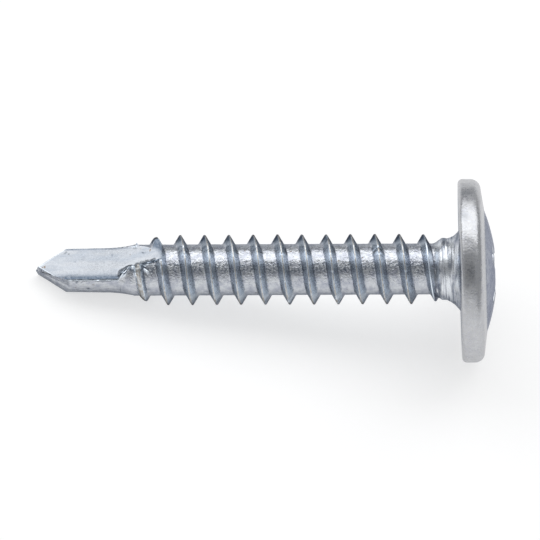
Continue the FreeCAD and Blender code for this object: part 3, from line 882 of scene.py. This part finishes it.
def screw_matrix():
    """Place of the screw's own axes in the frame, from the recess mount."""
    rest_roll = math.radians(4.3)
    along = Vector(RECESS_MOUNT["axis"]).normalized()
    upright = Vector((-along.z, 0.0, along.x))
    sideways = Vector((0.0, 1.0, 0.0))
    y_axis = sideways * math.cos(rest_roll) + upright * math.sin(rest_roll)
    z_axis = upright * math.cos(rest_roll) - sideways * math.sin(rest_roll)
    origin = Vector(RECESS_MOUNT["pos_m"]) - along * Screw.dome_height * MM
    matrix = Matrix((along, y_axis, z_axis)).transposed().to_4x4()
    matrix.translation = origin
    return matrix


def lean_head(points, lean, offset):
    """Tilt the head a little towards the drill point on one side and move it aside, as it was struck."""
    up_turn = math.radians(Screw.view_up)
    height = points[:, 1] * math.cos(up_turn) + points[:, 2] * math.sin(up_turn)
    share = np.clip(points[:, 0] / Screw.struck_length + 1.0, 0.0, 1.0)
    points[:, 0] -= height * math.tan(lean) * share
    points[:, 1] -= offset * share
    return points


class SCREW_OT_body(bpy.types.Operator):
    """Add the screw: head, neck, thread and drill point in one mesh"""
    bl_idname = "screw.body"
    bl_label = "Screw"

    def execute(self, context):
        sizes = context.scene.screw_sizes
        points, finish, faces = Screw(sizes).build()
        points = lean_head(points, sizes.head_lean, sizes.head_offset / MM) * MM
        mesh = bpy.data.meshes.new("zinc_screw")
        mesh.from_pydata(points.tolist(), [], faces.tolist())
        layer = mesh.attributes.new("finish", "FLOAT_COLOR", "POINT")
        layer.data.foreach_set("color", finish.astype(np.float32).ravel())
        work = bmesh.new()
        work.from_mesh(mesh)
        bmesh.ops.remove_doubles(work, verts=work.verts, dist=WELD * MM)
        bmesh.ops.dissolve_degenerate(work, edges=work.edges, dist=WELD * MM)
        bmesh.ops.recalc_face_normals(work, faces=work.faces)
        work.to_mesh(mesh)
        work.free()
        mesh.transform(screw_matrix())
        mesh.shade_smooth()
        mesh.set_sharp_from_angle(angle=math.radians(38.0))
        print("screw triangles", sum(len(p.vertices) - 2 for p in mesh.polygons))
        piece = bpy.data.objects.new("zinc_screw", mesh)
        context.scene.collection.objects.link(piece)
        mesh.materials.append(zinc_material(context.scene.screw_finish))
        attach(piece, "root")
        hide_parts("screw")
        return {"FINISHED"}


# Material

def add_node(tree, kind, place, **values):
    """Add a shader node and set its properties and sockets by name."""
    node = tree.nodes.new(kind)
    node.location = place
    for name, value in values.items():
        if hasattr(node, name):
            setattr(node, name, value)
        else:
            node.inputs[name.replace("_", " ")].default_value = value
    return node


class ShaderBench:
    """Adds nodes to the material of a piece, with textures measured in millimetres of the screw."""

    def __init__(self, tree):
        self.tree = tree
        self.link = tree.links.new
        matrix = screw_matrix()
        place = add_node(tree, "ShaderNodeTexCoord", (-2000, 0))
        scale = add_node(tree, "ShaderNodeMapping", (-1800, 0), vector_type="TEXTURE")
        scale.inputs["Location"].default_value = matrix.translation
        scale.inputs["Rotation"].default_value = matrix.to_euler()
        scale.inputs["Scale"].default_value = (MM, MM, MM)
        self.link(place.outputs["Object"], scale.inputs["Vector"])
        self.place = scale.outputs["Vector"]

    def noise(self, where, scale, detail, roughness, stretch=None):
        """Add a noise, which a stretch below 1 draws out along that axis."""
        vector = self.place
        if stretch:
            drawn = add_node(self.tree, "ShaderNodeMapping", (where[0] - 200, where[1]))
            drawn.inputs["Scale"].default_value = stretch
            self.link(vector, drawn.inputs["Vector"])
            vector = drawn.outputs["Vector"]
        node = add_node(self.tree, "ShaderNodeTexNoise", where, Scale=scale, Detail=detail,
                        Roughness=roughness)
        self.link(vector, node.inputs["Vector"])
        return node.outputs["Fac"]

    def spread(self, source, where, low, high, to_low=0.0, to_high=1.0):
        """Stretch a range of values over another."""
        node = add_node(self.tree, "ShaderNodeMapRange", where, From_Min=low, From_Max=high,
                        To_Min=to_low, To_Max=to_high)
        self.link(source, node.inputs["Value"])
        return node.outputs["Result"]

    def combine(self, operation, first, second, where):
        """Combine two values, of which the second may be a plain number."""
        node = add_node(self.tree, "ShaderNodeMath", where, operation=operation)
        self.link(first, node.inputs[0])
        if isinstance(second, float):
            node.inputs[1].default_value = second
        else:
            self.link(second, node.inputs[1])
        return node.outputs["Value"]

    def distance(self, source, middle, where):
        """How far a value is from another, whichever way."""
        beside = self.combine("SUBTRACT", source, middle, where)
        return self.combine("ABSOLUTE", beside, 0.0, (where[0] + 150, where[1]))

    def tint(self, under, colour, share, where):
        """Lay a colour over another by a share."""
        node = add_node(self.tree, "ShaderNodeMix", where, data_type="RGBA")
        node.inputs["B"].default_value = (*colour, 1.0)
        if isinstance(under, bpy.types.NodeSocket):
            self.link(under, node.inputs["A"])
        else:
            node.inputs["A"].default_value = (*under, 1.0)
        self.link(share, node.inputs["Factor"])
        return node.outputs["Result"]

    def bump(self, where, distance, strength, height, normal=None):
        """Add a bump, on top of another one if its normal is given."""
        node = add_node(self.tree, "ShaderNodeBump", where)
        node.inputs["Distance"].default_value = distance
        self.link(strength, node.inputs["Strength"])
        self.link(height, node.inputs["Height"])
        if normal:
            self.link(normal, node.inputs["Normal"])
        return node.outputs["Normal"]


class ZincPlating:
    """Bright zinc on cold-formed steel: crackled, pitted and a little stained."""

    def __init__(self, tree, finish):
        self.bench = ShaderBench(tree)
        self.finish = finish
        zone = add_node(tree, "ShaderNodeAttribute", (-2000, 700), attribute_name="finish")
        zones = add_node(tree, "ShaderNodeSeparateColor", (-1800, 700))
        self.bench.link(zone.outputs["Color"], zones.inputs["Color"])
        self.flute, self.ridge, self.rim = zones.outputs
        # The film channel holds dark film together with painted shade and a painted reflection.
        self.film = zone.outputs["Alpha"]
        ends = add_node(tree, "ShaderNodeSeparateXYZ", (-1600, 1000))
        self.bench.link(self.bench.place, ends.inputs["Vector"])
        self.along = ends.outputs["X"]
        level = add_node(tree, "ShaderNodeVectorMath", (-1600, 1300), operation="DOT_PRODUCT")
        up_turn = math.radians(Screw.view_up)
        level.inputs[1].default_value = (0.0, math.cos(up_turn), math.sin(up_turn))
        self.bench.link(self.bench.place, level.inputs[0])
        self.level = level.outputs["Value"]

        self.grain = self.bench.noise((-1500, 100), 8.0, 3.0, 0.6)
        flank = self.bench.spread(self.ridge, (-1250, 900), 0.08, 0.3)
        self.flank = self.bench.combine("MULTIPLY", flank, 0.9, (-1050, 900))
        self.band = self.crackled_band()
        calm = self.bench.spread(self.ridge, (-1250, -500), 0.05, 0.25)
        calm = self.bench.combine("MAXIMUM", self.flute, calm, (-1050, -500))
        headward = self.bench.spread(self.along, (-1250, -650), -1.5, -1.2, 0.0, 0.65)
        self.calm = self.bench.combine("MAXIMUM", calm, headward, (-850, -500))

    def crackled_band(self):
        """A band along the shank, at mid height across the view, crackled more deeply."""
        bench = self.bench
        from_middle = bench.distance(self.level, 0.10, (-1450, 1300))
        band = bench.spread(from_middle, (-1150, 1300), 0.20, 0.42, 1.0, 0.0)
        threaded = bench.spread(self.along, (-1150, 1500), -1.5, -1.3, 1.0, 0.0)
        band = bench.combine("MULTIPLY", band, threaded, (-950, 1300))
        plain = bench.spread(self.ridge, (-1150, 1700), 0.03, 0.12, 1.0, 0.0)
        plain = bench.combine("SUBTRACT", plain, self.flute, (-950, 1700))
        return bench.combine("MULTIPLY", band, plain, (-800, 1300))

    def neck_rings(self):
        """Bright rings that the heading die polished on the neck, and the dull ones between them."""
        bench = self.bench
        neck = bench.spread(self.along, (-1250, 2900), -1.5, -1.2)
        below_head = bench.spread(self.along, (-1250, 3100), -0.15, -0.05, 1.0, 0.0)
        neck = bench.combine("MULTIPLY", neck, below_head, (-1050, 2900))
        rings = bench.noise((-1500, 2900), 6.5, 2.0, 0.6, (1.0, 0.09, 0.09))
        bright = bench.spread(rings, (-1250, 3300), 0.50, 0.60)
        dull = bench.spread(rings, (-1250, 3500), 0.40, 0.48, 0.5, 0.0)
        polished = bench.combine("MULTIPLY", neck, bright, (-900, 2900))
        unpolished = bench.combine("MULTIPLY", neck, dull, (-900, 3100))
        return polished, unpolished

    def film_and_shade_share(self):
        """Dark film and painted shade in the corners and dents, painted shade on the upper flanks, and dark
        flecks along the crackled band.
        """
        bench = self.bench
        uneven = bench.spread(self.grain, (-1250, 1650), 0.25, 0.65, 0.6, 1.0)
        dark_film_and_shade = bench.combine("MULTIPLY", self.film, uneven, (-1050, 1650))
        # Painted shade: flanks high across the view are darkened, less so at their crests.
        high = bench.spread(self.level, (-1250, 2650), 1.30, 1.75, 0.0, 0.75)
        painted_upper_shade = bench.combine("MULTIPLY", self.flank, high, (-1050, 2650))
        below_crest = bench.spread(self.ridge, (-1050, 2800), 0.90, 0.97, 1.0, 0.2)
        painted_upper_shade = bench.combine("MULTIPLY", painted_upper_shade, below_crest, (-850, 2650))
        dark_film_and_shade = bench.combine("MAXIMUM", dark_film_and_shade, painted_upper_shade, (-950, 1650))
        pits = bench.spread(self.grain, (-1250, 2150), 0.50, 0.60, 0.0, 0.75)
        flecks = bench.combine("MULTIPLY", self.band, pits, (-1050, 2150))
        return bench.combine("MAXIMUM", dark_film_and_shade, flecks, (-850, 1650))

    def colour(self):
        """Colour, from the plain plating through each zone to the specks on top."""
        bench = self.bench
        finish = self.finish
        dull = bench.spread(bench.noise((-1500, 400), 2.6, 5.0, 0.65), (-1250, 400), 0.40, 0.64)
        polished, unpolished = self.neck_rings()
        worn = bench.spread(self.grain, (-1450, 1150), 0.38, 0.60, 0.5, 1.0)
        crest = bench.spread(self.ridge, (-1250, 1150), 0.92, 0.99)
        wear_and_sheen = bench.combine("MULTIPLY", crest, worn, (-1050, 1150))
        streaks = bench.noise((-1500, 2400), 1.9, 4.0, 0.6, (0.22, 1.0, 1.0))
        streaks = bench.spread(streaks, (-1250, 2400), 0.44, 0.66, 0.0, 0.5)
        streaks = bench.combine("MULTIPLY", self.flute, streaks, (-1050, 2400))
        mottled = bench.spread(self.grain, (-1250, 1400), 0.3, 0.7, 0.4, 1.0)
        mottled = bench.combine("MULTIPLY", self.rim, mottled, (-1050, 1400))
        stained = bench.spread(bench.noise((-1500, 700), 3.1, 2.0, 0.5), (-1250, 700), 0.72, 0.79)
        layers = (
            (finish.shade, dull),
            (finish.polished, polished),
            (finish.film, unpolished),
            # Painted reflection: the flanks take the bluer, brighter flank colour.
            (finish.flank, self.flank),
            (finish.crest, wear_and_sheen),
            (finish.flute, self.flute),
            (finish.flute_shade, streaks),
            (finish.rim, mottled),
            (finish.film, self.film_and_shade_share()),
            (finish.stain, stained),
        )
        colour = finish.zinc
        for number, (layer, share) in enumerate(layers):
            colour = bench.tint(colour, layer, share, (-850 + 100 * number, 400))
        return colour

    def edge_tint(self):
        """What each zone reflects where it is seen edge on; the low tints paint shade into the edge-on
        reflections of the shank, head and flanks.
        """
        bench = self.bench
        finish = self.finish
        on_top = bench.spread(self.along, (-1250, 1900), 1.3, 1.6)
        edge = bench.tint(finish.edge_tint, finish.flank_edge_tint, self.flank, (-850, 900))
        edge = bench.tint(edge, finish.head_edge_tint, on_top, (-700, 900))
        return bench.tint(edge, finish.rim_edge_tint, self.rim, (-550, 900))

    def roughness(self):
        """The rim is the dullest, and the flutes and flanks are duller than the shank."""
        bench = self.bench
        smooth = self.finish.roughness - 0.05
        rough = bench.spread(self.grain, (-1050, 100), 0.3, 0.75, smooth, smooth + 0.17)
        on_rim = bench.combine("MULTIPLY", self.rim, 0.06, (-1050, -100))
        where_calm = bench.combine("MULTIPLY", self.calm, 0.10, (-1050, -180))
        rough = bench.combine("ADD", rough, on_rim, (-850, -50))
        return bench.combine("ADD", rough, where_calm, (-700, -50))

    def relief(self):
        """Grain, and creases where their noise crosses its middle, both weaker where it is calm."""
        bench = self.bench
        crossing = bench.distance(bench.noise((-1500, -200), 4.6, 1.0, 0.5), 0.5, (-1250, -200))
        crease = bench.spread(crossing, (-850, -250), 0.0, 0.09)
        grain_share = bench.spread(self.calm, (-650, -100), 0.0, 1.0, 0.5, 0.10)
        grain_share = bench.combine("MAXIMUM", grain_share, self.band, (-550, -100))
        crease_share = bench.spread(self.calm, (-650, -350), 0.0, 1.0, 1.0, 0.06)
        fine = bench.bump((-450, -100), self.finish.pit_depth, grain_share, self.grain)
        return bench.bump((-220, -250), self.finish.crease_depth, crease_share, crease, fine)


def zinc_material(finish):
    """The zinc plating of the whole screw."""
    material = bpy.data.materials.new("zinc_plating")
    material.use_nodes = True
    tree = material.node_tree
    shader = tree.nodes["Principled BSDF"]
    shader.inputs["Metallic"].default_value = 1.0
    plating = ZincPlating(tree, finish)
    tree.links.new(plating.colour(), shader.inputs["Base Color"])
    tree.links.new(plating.edge_tint(), shader.inputs["Specular Tint"])
    tree.links.new(plating.roughness(), shader.inputs["Roughness"])
    tree.links.new(plating.relief(), shader.inputs["Normal"])
    return material


def floor_material(stage):
    """Pale floor that shows white and still takes the screw's shadow."""
    material = bpy.data.materials.new("pale_floor")
    material.use_nodes = True
    tree = material.node_tree
    link = tree.links.new
    shader = tree.nodes["Principled BSDF"]
    shader.inputs["Base Color"].default_value = (*stage.floor_colour, 1.0)
    shader.inputs["Roughness"].default_value = 1.0
    shader.inputs["Specular IOR Level"].default_value = 0.0
    shader.inputs["Emission Color"].default_value = (1.0, 1.0, 1.0, 1.0)
    path = add_node(tree, "ShaderNodeLightPath", (-700, -200))
    seen = add_node(tree, "ShaderNodeMath", (-480, -200), operation="MAXIMUM")
    link(path.outputs["Is Camera Ray"], seen.inputs[0])
    link(path.outputs["Is Glossy Ray"], seen.inputs[1])
    through = add_node(tree, "ShaderNodeMath", (-300, -200), operation="MAXIMUM")
    link(seen.outputs["Value"], through.inputs[0])
    link(path.outputs["Is Transmission Ray"], through.inputs[1])
    lift = add_node(tree, "ShaderNodeMath", (-140, -200), operation="MULTIPLY")
    lift.inputs[1].default_value = stage.floor_lift
    link(through.outputs["Value"], lift.inputs[0])
    link(lift.outputs["Value"], shader.inputs["Emission Strength"])
    return material


# Stage

def view_axes():
    """Directions to the right, up and back to the camera in the photographed view."""
    matrix = screw_matrix().to_3x3()
    along, y_axis, z_axis = matrix.col
    view_turn = math.radians(Screw.view_up + 90.0)
    axis_rise = math.radians(0.25)
    back = y_axis * math.cos(view_turn) + z_axis * math.sin(view_turn)
    up = back.cross(along)
    right = along * math.cos(axis_rise) - up * math.sin(axis_rise)
    return right, back.cross(right), back


def add_softbox(name, target, direction, distance, size, watts):
    """Add a rectangular lamp that faces the screw from a direction."""
    lamp = bpy.data.lights.new(name, "AREA")
    lamp.shape = "RECTANGLE"
    lamp.size, lamp.size_y = size
    lamp.energy = watts
    box = bpy.data.objects.new(name, lamp)
    bpy.context.scene.collection.objects.link(box)
    back = direction.normalized()
    right = Vector((1.0, 0.0, 0.0))
    right = (right - back * right.dot(back)).normalized()
    up = back.cross(right)
    box.matrix_world = Matrix((right, up, back)).transposed().to_4x4()
    box.location = target + back * distance


def shade_camera_side(tree, background, back, stage):
    """Darken the room where the camera and its operator stand, as the metal mirrors them."""
    link = tree.links.new
    place = add_node(tree, "ShaderNodeTexCoord", (-900, 0))
    facing = add_node(tree, "ShaderNodeVectorMath", (-700, 0), operation="DOT_PRODUCT")
    facing.inputs[1].default_value = back
    link(place.outputs["Generated"], facing.inputs[0])
    level = add_node(tree, "ShaderNodeMapRange", (-450, 0))
    shade_edge = math.radians(15.0)
    shade_core = math.radians(6.0)
    level.inputs["From Min"].default_value = math.cos(shade_edge)
    level.inputs["From Max"].default_value = math.cos(shade_core)
    level.inputs["To Min"].default_value = stage.surround
    level.inputs["To Max"].default_value = stage.camera_side
    link(facing.outputs["Value"], level.inputs["Value"])
    link(level.outputs["Result"], background.inputs["Strength"])


class SCREW_OT_stage(bpy.types.Operator):
    """Add the floor, the soft lights and the camera"""
    bl_idname = "screw.stage"
    bl_label = "Stage"

    def execute(self, context):
        scene = context.scene
        stage = scene.screw_stage
        scene.view_settings.view_transform = "Standard"
        right, up, back = view_axes()
        matrix = screw_matrix()
        picture_middle = matrix @ Vector((-11.02 * MM, 0.0, 0.0)) - up * 0.023 * MM
        mesh = bpy.data.meshes.new("floor")
        reach = 1.5
        corners = [(-reach, -reach, 0.0), (reach, -reach, 0.0), (reach, reach, 0.0), (-reach, reach, 0.0)]
        mesh.from_pydata(corners, [], [(0, 1, 2, 3)])
        floor = bpy.data.objects.new("floor", mesh)
        mesh.materials.append(floor_material(stage))
        scene.collection.objects.link(floor)

        world = bpy.data.worlds.new("surround")
        world.use_nodes = True
        background = world.node_tree.nodes["Background"]
        background.inputs["Color"].default_value = (0.96, 0.98, 1.0, 1.0)
        shade_camera_side(world.node_tree, background, back, stage)
        scene.world = world

        # Each softbox has its height in degrees above the line of sight, its distance and its size
        for name, height, distance, size, watts in (
            ("overhead_softbox", 66.0, 0.25, (0.64, 0.25), stage.overhead_watts),
            ("front_softbox", -40.0, 0.35, (0.5, 0.1), stage.front_watts),
        ):
            turn = math.radians(height)
            direction = back * math.cos(turn) + up * math.sin(turn)
            add_softbox(name, picture_middle, direction, distance, size, watts)

        lens = bpy.data.cameras.new("camera")
        lens.sensor_width = 36.0
        lens.lens = lens.sensor_width * stage.camera_distance / stage.view_width
        camera = bpy.data.objects.new("camera", lens)
        scene.collection.objects.link(camera)
        camera.matrix_world = Matrix((right, up, back)).transposed().to_4x4()
        camera.location = picture_middle + back * stage.camera_distance
        scene.camera = camera
        return {"FINISHED"}


class SCREW_PT_panel(bpy.types.Panel):
    """Lists the operators that make the screw and its stage"""
    bl_idname = "SCREW_PT_panel"
    bl_label = "Drill screw"
    bl_space_type = "VIEW_3D"
    bl_region_type = "UI"
    bl_category = "Screw"

    def draw(self, context):
        for operator in OPERATORS:
            self.layout.operator(operator.bl_idname)
        for group in (context.scene.screw_sizes, context.scene.screw_finish, context.scene.screw_stage):
            box = self.layout.box()
            for name in group.__annotations__:
                box.prop(group, name)


OPERATORS = (SCREW_OT_body, SCREW_OT_stage)
CLASSES = (ScrewSizes, FinishSettings, StageSettings, *OPERATORS, SCREW_PT_panel)


def register():
    """Register the classes and hang the settings on the scene."""
    for cls in CLASSES:
        bpy.utils.register_class(cls)
    bpy.types.Scene.screw_sizes = bpy.props.PointerProperty(type=ScrewSizes)
    bpy.types.Scene.screw_finish = bpy.props.PointerProperty(type=FinishSettings)
    bpy.types.Scene.screw_stage = bpy.props.PointerProperty(type=StageSettings)


def unregister():
    """Take the settings and the classes away again."""
    del bpy.types.Scene.screw_stage
    del bpy.types.Scene.screw_finish
    del bpy.types.Scene.screw_sizes
    for cls in reversed(CLASSES):
        bpy.utils.unregister_class(cls)


def main():
    """Build the scene."""
    register()
    for operator in OPERATORS:
        group, name = operator.bl_idname.split(".")
        getattr(getattr(bpy.ops, group), name)()


if __name__ == "__main__":
    main()
